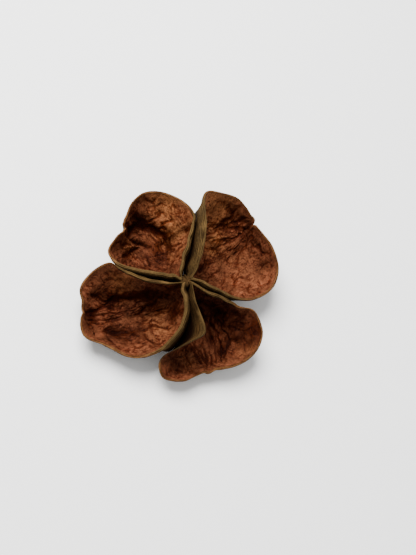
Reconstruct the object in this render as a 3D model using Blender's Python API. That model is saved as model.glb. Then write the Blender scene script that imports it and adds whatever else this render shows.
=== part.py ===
"""Land lotus pod: a dried woody pod of four open shells grown together at a knot in the middle.

Metres, +Z up. The pod lies on the bellies of its shells, its open side up.
The origin is under the middle of its footprint, on the surface that it rests on.
"""
import math

import bmesh
import bpy
from mathutils import Matrix, Vector, noise

MM = 0.001

# The wall and its edges.
WALL = 1.5
SUTURE_MARGIN = 2.2
OUTER_MARGIN = 1.1
MARGIN_START = 0.80

# Each shell's hollow: the belly sinks a little below the surface and is then cut flat. A curl
# is the angle through which the wall turns from the belly to the edge, in radians.
BELLY_SINK = 0.45
RIM_CURL = 0.75
SWELL_END = 0.85
EDGE_SHAPE_START = 0.30
SOFTENING = 0.065

# The fold down the middle of each shell, the pleats beside it and the uneven lumps all over.
# Folds fade out at the belly and at the edge.
CREASE_DEPTH = 0.8
CREASE_WIDTH = 2.2
PLEAT_HEIGHT = 0.35
PLEAT_SPACING = 6.0
PLEAT_SPREAD = 9.0
PLEAT_NARROWING = 0.45
LUMP_HEIGHT = 1.6
LUMP_SIZE = 14.0
LUMPS_AT_EDGE = 0.3
FOLD_START = 0.45
EDGE_CALM_START = 0.80

# The knot where the shells meet, the pillar under it and the broken end of the stalk.
KNOT_PLACE = (1.2, 2.9)
KNOT_RADIUS = 2.6
KNOT_TOP = 27.0
RECEPTACLE_RADIUS = 5.0
RECEPTACLE_HEIGHT = 7.0
STALK_RADIUS = 4.2
STALK_END = 2.5
KNOT_WAVE = 0.12
KNOT_SIDES = 24

# The block below the surface: what cuts the bellies flat.
BLOCK_WIDTH = 200.0
BLOCK_DEPTH = 10.0

# How finely each shell is drawn.
RAYS = 64
INNER_RINGS = 9
LIP_RINGS = 4
OUTER_RINGS = 7
SPLINE_STEPS = 400

# Each shell: its lowest place, then its edge in two runs, both from the knot out along the
# suture and round the outer rim to the notch in the tip. X, Y and Z in mm. The swell is how
# far the wall below a suture stands out past its edge, and the narrowing is how much the lip
# thins toward the suture's outer end, as a share. A fold is a line, its half width and how far
# it stands up into the shell, or sinks where that is negative.
SHELLS = {
    "upper_left": {
        "belly": (-10.0, 24.0),
        "folds": [
            ([(-19, 30.5), (-9, 33), (-3.5, 29), (-1, 22.5), (-1.5, 16)], 1.9, -1.5),
            ([(-21, 35), (-13.5, 34)], 1.9, -0.9),
            ([(-17.5, 39.5), (-10, 38), (-3.5, 34)], 2.3, 0.9),
            ([(-23.5, 15), (-17, 22)], 1.7, -0.9),
            ([(-14, 29.5), (-7.5, 27.5), (-4.5, 21.5)], 1.7, 0.9),
            ([(-11.5, 18.5), (-9, 21.5)], 2.2, 0.8),
        ],
        "first": {
            "swell": 2,
            "narrowing": 0.95,
            "suture": [(-1.5, 4.5, 26), (-2, 8, 27), (0, 13, 28), (2.8, 20, 28), (4.6, 27, 27.5),
                       (5.6, 32, 26)],
            "rim": [(4, 37, 23.5), (-0.7, 41.3, 21.5), (-7.5, 44.3, 19.5), (-14.2, 43.9, 18),
                    (-19.3, 39.4, 17), (-21.5, 34.2, 16.5), (-22.8, 30.7, 15.8),
                    (-20.6, 28.5, 14.5)],
        },
        "second": {
            "swell": 0.1,
            "narrowing": 0.5,
            "suture": [(-1.5, 4.5, 26), (-7.5, 5, 26), (-14, 6.5, 24.5), (-20.5, 8, 23), (-26, 10, 21)],
            "rim": [(-28.8, 14, 18.5), (-29.2, 18.5, 16.5), (-25.9, 24.1, 16), (-23.4, 26.8, 15.5),
                    (-20.6, 28.5, 14.5)],
        },
    },
    "lower_left": {
        "belly": (-19.0, -7.5),
        "folds": [
            ([(-31.5, 0), (-14.5, 0), (-4, 0)], 2.0, -1.2),
            ([(-37, -5), (-24.5, -5), (-15.5, -5.5)], 1.5, 0.6),
            ([(-32.5, -15.5), (-25.5, -14), (-19, -12.5)], 2.3, -1.5),
            ([(-15.5, -6.5), (-10, -2.5), (-5, 0)], 1.5, -0.8),
            ([(-10, -12.5), (-7, -14.5)], 4.5, 1.2),
            ([(-37, -9.5), (-31, -9.5)], 1.5, -0.6),
        ],
        "first": {
            "swell": 0.1,
            "narrowing": 0.6,
            "suture": [(-1, 1.5, 26), (-7.5, 1.5, 26), (-14, 2.5, 24.5), (-20.5, 5.5, 22.5),
                       (-26, 9, 20.5)],
            "rim": [(-30, 11.5, 19), (-36.3, 8.5, 15), (-40.6, 2.3, 12), (-38.4, -5.5, 10)],
        },
        "second": {
            "swell": 3,
            "narrowing": 0.5,
            "suture": [(-1, 1.5, 26), (0, -2.5, 26), (1, -7, 26), (0.5, -12, 25), (-1.5, -17.5, 23),
                       (-4.5, -21, 20), (-8, -24, 17)],
            "rim": [(-14.5, -26.5, 14), (-21.2, -26.2, 12), (-30.7, -21.2, 11), (-38, -18.6, 11),
                    (-40.1, -14.2, 11), (-39.8, -10, 11), (-38.4, -5.5, 10)],
        },
    },
    "lower_right": {
        "belly": (16.0, -18.5),
        "folds": [
            ([(9, -5), (11, -15), (12.5, -26)], 1.4, -0.9),
            ([(12, -3.5), (14, -13), (15.5, -27)], 1.4, -0.9),
            ([(15, -3.5), (17.5, -12), (18, -27)], 1.4, -0.9),
            ([(18.5, -4.5), (21.5, -12), (21.5, -26)], 1.4, -0.9),
            ([(23.5, -10.5), (28.5, -15.5)], 1.5, 0.8),
            ([(30, -21.5), (28, -23.5)], 3.5, 0.8),
            ([(7.5, -21.5), (5, -31)], 1.3, -0.6),
            ([(1, -25), (0.5, -32)], 1.3, -0.5),
        ],
        "first": {
            "swell": 0.8,
            "narrowing": 0.5,
            "suture": [(3.5, 1, 26), (8.5, -0.5, 25), (14.5, -2.5, 24), (21, -4.5, 22)],
            "rim": [(25, -6, 20), (32.3, -7, 18), (36.3, -14.9, 16), (34.3, -22.2, 14), (29, -27, 12),
                    (22.4, -29.7, 11), (14.3, -30.8, 9)],
        },
        "second": {
            "swell": 3.2,
            "narrowing": 0.4,
            "suture": [(3.5, 1, 26), (4.5, -4.5, 25), (6.5, -10.5, 25), (8, -16, 25), (7.5, -19.5, 24),
                       (3, -22, 22), (-1.5, -24, 18), (-6, -26, 15)],
            "rim": [(-7.7, -29, 11), (-6, -33.8, 9), (-1.8, -35.3, 9), (3.7, -35.3, 9), (9.7, -32.4, 9),
                    (14.3, -30.8, 9)],
        },
    },
    "upper_right": {
        "belly": (27.0, 18.5),
        "folds": [
            ([(33, 32), (24, 33.5), (13, 30)], 1.6, -1.2),
            ([(32, 35), (25, 36), (18, 33.5)], 1.5, -0.8),
            ([(33, 31), (23.5, 28), (17, 21.5)], 1.6, -0.9),
            ([(29.5, 40), (27, 36.5)], 3.0, -1.0),
            ([(38.5, 26.5), (40.5, 21.5)], 2.5, -0.7),
            ([(33.5, 16), (35.5, 13.5)], 5.0, 0.8),
        ],
        "first": {
            "swell": 2.6,
            "narrowing": 0.1,
            "suture": [(4, 4.5, 26), (5.5, 8.5, 27), (7, 14.5, 30), (8, 20.5, 31), (8.9, 28.5, 31),
                       (9.2, 37.5, 29)],
            "rim": [(12.0, 42.9, 27), (19.8, 43.6, 24), (27, 43, 21), (31.3, 39.1, 19.5),
                    (33.2, 36.5, 18.6), (34.8, 33.5, 18), (34, 31.7, 17)],
        },
        "second": {
            "swell": 0.8,
            "narrowing": 0.7,
            "suture": [(4, 4.5, 26), (10.5, 1.5, 25), (17.5, -0.5, 22.5), (23.5, -1.5, 20)],
            "rim": [(30.8, -1.4, 18.5), (38.4, 2, 17), (43.1, 6.7, 16.5), (45.1, 14.4, 16.5),
                    (42.8, 23.2, 17), (38.2, 29, 17.6), (35.9, 31.8, 17.3), (34, 31.7, 17)],
        },
    },
}


def start_clean():
    """Empty the scene and give back the collection for the pod and the one for what cuts it."""
    for item in list(bpy.data.objects):
        bpy.data.objects.remove(item, do_unlink=True)
    made = []
    for name in ("land_lotus_pod", "cutters"):
        group = bpy.data.collections.new(name)
        bpy.context.scene.collection.children.link(group)
        made.append(group)
    return made


def smooth_step(value):
    """Rise smoothly from 0 to 1 while the value does."""
    value = min(1.0, max(0.0, value))
    return value * value * (3 - 2 * value)


def spline_point(points, place):
    """Point on the smooth curve through the points, with place counted in points."""
    last = len(points) - 1
    step = min(int(place), last - 1)
    share = place - step
    before = points[max(step - 1, 0)]
    start = points[step]
    end = points[step + 1]
    after = points[min(step + 2, last)]
    pull_out = (end - before) / 2
    pull_in = (after - start) / 2
    squared = share * share
    cubed = squared * share
    return (start * (2 * cubed - 3 * squared + 1) + pull_out * (cubed - 2 * squared + share)
            + end * (3 * squared - 2 * cubed) + pull_in * (cubed - squared))


def gap_to_line(place, line):
    """Distance from a flat place to a line of points."""
    gaps = []
    for start, end in zip(line, line[1:]):
        first = Vector(start)
        span = Vector(end) - first
        share = min(1.0, max(0.0, (place - first).dot(span) / span.length_squared))
        gaps.append((place - first - span * share).length)
    return min(gaps)


def even_run(run, belly, count):
    """Places at even steps along one run of an edge, each with its curl and its lip's share."""
    corners = [Vector((*corner, 1.0)) for corner in run["suture"]]
    corners += [Vector((*corner, 0.0)) for corner in run["rim"]]
    last = len(corners) - 1
    fine = [spline_point(corners, last * step / SPLINE_STEPS) for step in range(SPLINE_STEPS + 1)]
    lengths = [0.0]
    for first, second in zip(fine, fine[1:]):
        lengths.append(lengths[-1] + (second.xyz - first.xyz).length)
    suture_length = lengths[round(SPLINE_STEPS * (len(run["suture"]) - 1) / last)]
    places = []
    passed = 0
    for step in range(count + 1):
        wanted = lengths[-1] * step / count
        while passed < SPLINE_STEPS and lengths[passed] < wanted:
            passed += 1
        near = fine[passed]
        suture = min(1.0, max(0.0, near.w))
        span = (near.xy - Vector(belly)).length
        share = wanted / suture_length
        swell = run["swell"] * (1 - smooth_step((share - SWELL_END) / (1 - SWELL_END)))
        curl = math.pi - math.asin(span / (span + swell))
        lip = suture * (1 - run["narrowing"] * min(1.0, share))
        places.append((near.xyz, RIM_CURL + (curl - RIM_CURL) * suture, lip))
    return places


def softened(loop):
    """The closed loop of places with its corners and its notch rounded away."""
    count = len(loop)
    reach = int(3 * SOFTENING * count)
    soft = []
    for index in range(count):
        total = Vector((0, 0, 0))
        weight = 0.0
        for step in range(-reach, reach + 1):
            share = math.exp(-0.5 * (step / (SOFTENING * count)) ** 2)
            total += loop[(index + step) % count] * share
            weight += share
        soft.append(total / weight)
    return soft


class Shell:
    """One open shell, given by its edge, its lowest place and its folds."""

    def __init__(self, facts, rays):
        half = rays // 2
        first = even_run(facts["first"], facts["belly"], half)
        second = even_run(facts["second"], facts["belly"], half)
        whole = first[:-1] + second[:0:-1]
        self.belly = Vector((*facts["belly"], WALL / 2 - BELLY_SINK))
        self.edge = [place for place, curl, lip in whole]
        self.curl = [curl for place, curl, lip in whole]
        self.lip = [lip for place, curl, lip in whole]
        self.soft = softened(self.edge)
        self.rays = rays
        self.folds = facts["folds"]
        self.knot = self.edge[0]
        along = (self.edge[half] - self.knot).xy
        self.length = along.length
        self.along = along.normalized()
        down, across = self.beside_middle(self.belly)
        self.bend = across / (4 * down * (1 - down))

    def beside_middle(self, place):
        """How far a place is down the line from knot to notch, as a share, and how far beside it."""
        offset = place.xy - self.knot.xy
        down = offset.dot(self.along) / self.length
        return down, offset.y * self.along.x - offset.x * self.along.y

    def fold_height(self, place, reach):
        """Height of the middle crease, the pleats and the lumps at a place on the shell."""
        down, across = self.beside_middle(place)
        across -= self.bend * 4 * down * (1 - down)
        crease = -CREASE_DEPTH * math.exp(-(across / CREASE_WIDTH) ** 2)
        spread = PLEAT_SPREAD * (1 - PLEAT_NARROWING * down)
        wave = math.cos(2 * math.pi * across / PLEAT_SPACING) * math.exp(-(across / spread) ** 2)
        middle = smooth_step(reach / FOLD_START) * (crease - PLEAT_HEIGHT * wave)
        edge = smooth_step((reach - EDGE_CALM_START) / (1 - EDGE_CALM_START))
        lump = noise.noise(place / LUMP_SIZE) * LUMP_HEIGHT * (1 + (LUMPS_AT_EDGE - 1) * edge)
        folds = sum(height * math.exp(-(gap_to_line(place.xy, line) / width) ** 2)
                    for line, width, height in self.folds)
        return middle + lump + folds * (1 - edge)

    def bowl(self, ray, reach):
        """Place on the smooth bowl, before its folds."""
        form = smooth_step((reach - EDGE_SHAPE_START) / (1 - EDGE_SHAPE_START))
        span = self.soft[ray].lerp(self.edge[ray], form) - self.belly
        curl = self.curl[ray]
        widen = math.sin(curl * reach) / math.sin(curl)
        rise = (1 - math.cos(curl * reach)) / (1 - math.cos(curl))
        return self.belly + Vector((span.x * widen, span.y * widen, span.z * rise))

    def sheet(self, ray, reach):
        """Middle of the wall on one ray, its two directions there and the wall's thickness."""
        ray %= self.rays
        place = self.bowl(ray, reach)
        away = self.soft[ray] - self.belly
        away.z = 0
        away.normalize()
        change = self.bowl(ray, min(1.0, reach + 0.02)) - self.bowl(ray, max(0.0, reach - 0.02))
        outward = change.dot(away)
        forward = (away * outward + Vector((0, 0, change.z))).normalized()
        behind = (away * change.z - Vector((0, 0, outward))).normalized()
        place -= behind * self.fold_height(place, reach)
        place.z = max(place.z, self.belly.z)
        margin = OUTER_MARGIN + (SUTURE_MARGIN - OUTER_MARGIN) * self.lip[ray]
        thick = WALL + (margin - WALL) * smooth_step((reach - MARGIN_START) / (1 - MARGIN_START))
        return place, forward, behind, thick

    def point(self, ray, ring):
        """Point of the closed wall: up the inside, over the edge and down the outside."""
        if ring <= INNER_RINGS:
            place, forward, behind, thick = self.sheet(ray, ring / INNER_RINGS)
            return place - behind * thick / 2
        if ring < INNER_RINGS + LIP_RINGS:
            place, forward, behind, thick = self.sheet(ray, 1.0)
            turn = math.pi * (ring - INNER_RINGS) / LIP_RINGS
            return place + (forward * math.sin(turn) - behind * math.cos(turn)) * thick / 2
        back = INNER_RINGS + LIP_RINGS + OUTER_RINGS - ring
        place, forward, behind, thick = self.sheet(ray, back / OUTER_RINGS)
        return place + behind * thick / 2


def add_object(mesh_maker, name, group):
    """Make an object from a function that fills a bmesh."""
    work = bmesh.new()
    mesh_maker(work)
    bmesh.ops.recalc_face_normals(work, faces=work.faces)
    mesh = bpy.data.meshes.new(name)
    work.to_mesh(mesh)
    work.free()
    item = bpy.data.objects.new(name, mesh)
    group.objects.link(item)
    return item


def shell_maker(facts):
    """Function that shapes a globe of rays and rings into one shell."""
    rings = INNER_RINGS + LIP_RINGS + OUTER_RINGS
    shell = Shell(facts, RAYS)

    def fill(work):
        bmesh.ops.create_uvsphere(work, u_segments=RAYS, v_segments=rings, radius=1.0)
        for vertex in work.verts:
            ring = round(math.acos(max(-1.0, min(1.0, vertex.co.z))) / math.pi * rings)
            ray = round(math.atan2(vertex.co.y, vertex.co.x) / (2 * math.pi) * RAYS)
            vertex.co = shell.point(ray, ring) * MM
    return fill


def knot_maker(work):
    """Fill the bmesh with the pillar that carries the knot, down to the end of the stalk."""
    levels = [(KNOT_TOP, 0.0), (KNOT_TOP, 0.5 * KNOT_RADIUS), (KNOT_TOP - 1.0, 0.9 * KNOT_RADIUS),
              (KNOT_TOP - 3.0, KNOT_RADIUS), (RECEPTACLE_HEIGHT + 9.0, 0.85 * KNOT_RADIUS),
              (RECEPTACLE_HEIGHT + 3.0, 0.7 * RECEPTACLE_RADIUS), (RECEPTACLE_HEIGHT, RECEPTACLE_RADIUS),
              (RECEPTACLE_HEIGHT - 2.0, 0.8 * RECEPTACLE_RADIUS), (STALK_END + 1.5, STALK_RADIUS),
              (STALK_END, 0.85 * STALK_RADIUS), (STALK_END, 0.0)]
    rings = len(levels) - 1
    bmesh.ops.create_uvsphere(work, u_segments=KNOT_SIDES, v_segments=rings, radius=1.0)
    for vertex in work.verts:
        flat = vertex.co.xy
        ring = round(math.acos(max(-1.0, min(1.0, vertex.co.z))) / math.pi * rings)
        height, radius = levels[ring]
        around = math.atan2(flat.y, flat.x)
        radius *= 1 + KNOT_WAVE * (math.sin(4 * around) + 0.5 * math.sin(7 * around + height))
        vertex.co = Vector((KNOT_PLACE[0] + radius * math.cos(around),
                            KNOT_PLACE[1] + radius * math.sin(around), height)) * MM


def wood_material():
    """Brown dry wood of the pod."""
    material = bpy.data.materials.new("dry_pod_wood")
    material.use_nodes = True
    shader = material.node_tree.nodes["Principled BSDF"]
    shader.inputs["Base Color"].default_value = (0.115, 0.046, 0.018, 1)
    shader.inputs["Roughness"].default_value = 0.55
    shader.inputs["Metallic"].default_value = 0.0
    material.diffuse_color = (0.115, 0.046, 0.018, 1)
    return material


def apply_modifiers(item):
    """Turn the object's modifiers into its mesh."""
    depsgraph = bpy.context.evaluated_depsgraph_get()
    mesh = bpy.data.meshes.new_from_object(item.evaluated_get(depsgraph))
    item.modifiers.clear()
    item.data = mesh


def drop_scraps(mesh):
    """Keep only the largest body of the mesh: joining can leave a loose crumb."""
    work = bmesh.new()
    work.from_mesh(mesh)
    left = set(work.verts)
    bodies = []
    while left:
        body = set()
        waiting = [left.pop()]
        while waiting:
            vertex = waiting.pop()
            body.add(vertex)
            for edge in vertex.link_edges:
                other = edge.other_vert(vertex)
                if other in left:
                    left.remove(other)
                    waiting.append(other)
        bodies.append(body)
    bodies.sort(key=len)
    for body in bodies[:-1]:
        bmesh.ops.delete(work, geom=list(body), context="VERTS")
    work.to_mesh(mesh)
    work.free()


def join_shells(pod, cutters):
    """Grow the shells in the cutters' collection together with the pod's knot."""
    union = pod.modifiers.new("join_shells", "BOOLEAN")
    union.operation = "UNION"
    union.operand_type = "COLLECTION"
    union.collection = cutters
    union.solver = "MANIFOLD"
    apply_modifiers(pod)
    for item in list(cutters.objects):
        bpy.data.objects.remove(item, do_unlink=True)


def block_maker(work):
    """Fill the bmesh with the block below the surface that the pod rests on."""
    place = Matrix.LocRotScale(Vector((0, 0, -BLOCK_DEPTH / 2)) * MM, None,
                               Vector((BLOCK_WIDTH, BLOCK_WIDTH, BLOCK_DEPTH)) * MM)
    bmesh.ops.create_cube(work, size=1.0, matrix=place)


def cut_flat(pod, cutters):
    """Cut the bellies flat where the pod rests."""
    block = add_object(block_maker, "surface", cutters)
    block.display_type = "WIRE"
    block.hide_render = True
    cut = pod.modifiers.new("flat_bellies", "BOOLEAN")
    cut.operation = "DIFFERENCE"
    cut.object = block
    cut.solver = "MANIFOLD"
    apply_modifiers(pod)
    bpy.data.objects.remove(block, do_unlink=True)


def main():
    """Build the pod and put its origin under the middle of its footprint."""
    pod_group, cutters = start_clean()
    pod = add_object(knot_maker, "pod", pod_group)
    for name, facts in SHELLS.items():
        add_object(shell_maker(facts), "shell_" + name, cutters)
    join_shells(pod, cutters)
    cut_flat(pod, cutters)
    drop_scraps(pod.data)
    low = Vector([min(vertex.co[axis] for vertex in pod.data.vertices) for axis in range(3)])
    high = Vector([max(vertex.co[axis] for vertex in pod.data.vertices) for axis in range(3)])
    middle = (low + high) / 2
    pod.data.transform(Matrix.Translation((-middle.x, -middle.y, 0)))
    pod.data.materials.clear()
    pod.data.materials.append(wood_material())
    pod.data.shade_smooth()


main()
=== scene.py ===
"""Looks of the land lotus pod: four open woody shells with leathery insides and fibrous edges.

Sizes are in millimetres until a mesh is written. The shells are the part's own shells drawn
finer, with the wrinkles, the fibres and the skin that the solids leave out.
"""
import itertools
import math

import bmesh
import bpy
import numpy as np
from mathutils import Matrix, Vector, noise


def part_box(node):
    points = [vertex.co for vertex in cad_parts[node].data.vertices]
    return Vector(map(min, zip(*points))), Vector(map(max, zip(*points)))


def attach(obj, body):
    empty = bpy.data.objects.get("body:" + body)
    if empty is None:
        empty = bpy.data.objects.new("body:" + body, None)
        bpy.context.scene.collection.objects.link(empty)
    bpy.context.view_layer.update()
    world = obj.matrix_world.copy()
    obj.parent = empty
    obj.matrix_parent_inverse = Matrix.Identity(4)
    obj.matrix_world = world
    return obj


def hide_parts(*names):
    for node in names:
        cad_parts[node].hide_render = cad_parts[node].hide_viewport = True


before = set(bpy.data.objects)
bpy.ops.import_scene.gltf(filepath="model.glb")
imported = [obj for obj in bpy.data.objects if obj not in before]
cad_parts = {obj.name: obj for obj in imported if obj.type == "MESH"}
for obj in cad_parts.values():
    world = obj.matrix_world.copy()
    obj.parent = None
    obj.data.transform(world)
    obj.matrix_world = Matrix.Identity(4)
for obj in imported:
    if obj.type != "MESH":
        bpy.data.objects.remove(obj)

MM = 0.001

# The wall and its edges, as in the part, but with the lips thinner by their fibres.
WALL = 1.5
SUTURE_MARGIN = 1.8
OUTER_MARGIN = 1.1
MARGIN_START = 0.80
BELLY_SINK = 0.45
RIM_CURL = 0.75
SWELL_END = 0.85
EDGE_SHAPE_START = 0.30
SOFTENING = 0.065
SLOPE_STEP = 0.02

# The big folds, as in the part.
CREASE_DEPTH = 0.8
CREASE_WIDTH = 2.2
PLEAT_HEIGHT = 0.35
PLEAT_SPACING = 6.0
PLEAT_SPREAD = 9.0
PLEAT_NARROWING = 0.45
LUMP_HEIGHT = 1.6
LUMP_SIZE = 14.0
LUMPS_AT_EDGE = 0.3
FOLD_START = 0.45
EDGE_CALM_START = 0.80

# The knot, as in the part.
KNOT_PLACE = (1.2, 2.9)
KNOT_RADIUS = 2.6
KNOT_TOP = 27.0
RECEPTACLE_RADIUS = 5.0
RECEPTACLE_HEIGHT = 7.0
STALK_RADIUS = 4.2
STALK_END = 2.5
KNOT_WAVE = 0.12

# The grain along the pillar: its bumps for each radian, their length and their height.
KNOT_GRAIN = 5.0
KNOT_GRAIN_LENGTH = 7.0
KNOT_GRAIN_HEIGHT = 0.35

# What the dried skin adds: dents, long wrinkles beside each fold, a fan of them out of the notch
# in the tip, and a crinkle all over with fine lines that run outward from the knot. A size or a
# spacing is the distance from one bump or wrinkle to the next, which for the fan is measured at
# its radius. A sway is how far lines wander, and a break size is how often they fade out.
DENT_SIZE = 6.5
DENT_HEIGHT = 0.75
SMALL_DENT_SIZE = 3.0
SMALL_DENT_HEIGHT = 0.18
SWAY_SIZE = 4.0
CREASE_SWAY = 0.9
CREASE_STEPS = 6
WRINKLE_SPACING = 1.7
WRINKLE_SPREAD = 4.5
WRINKLE_DEPTH = 0.34
WRINKLE_BREAK_SIZE = 3.5
FAN_SPACING = 2.4
FAN_RADIUS = 20.0
FAN_LENGTH = 13.0
FAN_HALF_ANGLE = 0.6
FAN_SWAY = 0.6
FAN_DEPTH = 0.30
CRINKLE_SIZE = 2.3
CRINKLE_SWAY = 1.5
CRINKLE_DEPTH = 0.24
CRINKLE_BREAK_SIZE = 2.5
LINE_LENGTH = 4.5
LINE_SPACING = 1.2

# How wide furrows are, as a share of the noise's height, and how dark each kind of wrinkle is
# painted, as painted shade.
WIDE_FURROW = 0.25
NARROW_FURROW = 0.16
CREASE_SHADE = 1.3
WRINKLE_SHADE = 0.5
CRINKLE_SHADE = 0.7

# Where the skin changes on its way from the lowest place, 0, to the edge, 1: it is calm in the
# middle and near the edge, and beside a suture it ends in a groove and a band of fibre. The
# outer rim is only partly woody.
CALM_MIDDLE = 0.25
CALM_EDGE = 0.90
BAND_WIDTH = 0.016
BAND_FADE = 0.02
GROOVE_WIDTH = 0.014
GROOVE_DEPTH = 0.15
RIM_START = 0.985
RIM_WOOD = 0.6

# The thinnest that a wall may get in a dent, and where two shells touch the deepest dent and
# how much thinner the walls are outside, so that neither shows inside the other. They touch from
# a share of the way up, and the paring starts a little below the lip and away from the knot.
THINNEST = 0.5
WALL_DENT = 0.15
WALL_PARING = 0.4
TOUCH_START = 0.3
TOUCH_RISE = 0.2
PARING_FADE = 0.15
PARING_START = 7.0
PARING_RISE = 5.0

# The fibres that run along the edges and the outside: even ones with uneven ones between them
# near the edge, and coarse ones further down, which fade out toward the lowest place. A length
# holds as many uneven or coarse fibres as it has breaks. Fibres turn dark below the margin, and
# beside a suture they are darkened with painted shade, for the shade in the pocket between shells.
FIBRE_SPACING = 0.75
UNEVEN_SPACING = 0.8 * FIBRE_SPACING
COARSE_SPACING = 3 * FIBRE_SPACING
FIBRE_LENGTH = 9.0
FIBRE_BREAKS = 1.7
FIBRE_HEIGHT = 0.18
FIBRE_SWAY = 0.6
FIBRE_FADE = 0.3
MARGIN_HEIGHT = 4.0
POCKET_SHADE_START = -0.4
POCKET_SHADE_RISE = 2.5
SHADE_START = 2.0
SHADE_RISE = 6.0

# The grain in the warm patches and in the dark patches of painted shade and stain, and what is
# noted of each point for the material.
PATCH_GRAIN_SIZE = 4.0
PATCH_GRAIN = 0.6
NOTES = ("woody", "furrow", "warm", "deep")

# How finely a shell is drawn. Its outer rings lie a little closer together toward the lip.
FINE_STEPS = 2000
RAYS = 400
INNER_RINGS = 112
LIP_RINGS = 12
OUTER_RINGS = 80
OUTER_CROWDING = 1.2
KNOT_RAYS = 96
KNOT_RINGS = 81

# The rays by which the part centres itself.
PART_RAYS = 64

# The photograph's frame, and the slant, side and distance from which it was taken.
PHOTO_HEIGHT = 555
TABLE_MM_PER_PIXEL = 0.4415
CAMERA_SLANT = math.radians(24)
CAMERA_SIDE = math.radians(50)
CAMERA_DISTANCE = 500.0
AIM = (18.0, 13.6, 0.0)
SENSOR = 36.0

# The room, in metres and watts.
FLOOR_SIZE = 4.0
SKY_STRENGTH = 0.75
WINDOW_PLACE = (-0.20, 0.29, 0.62)
WINDOW_SIZE = 0.50
WINDOW_POWER = 17.0
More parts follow.
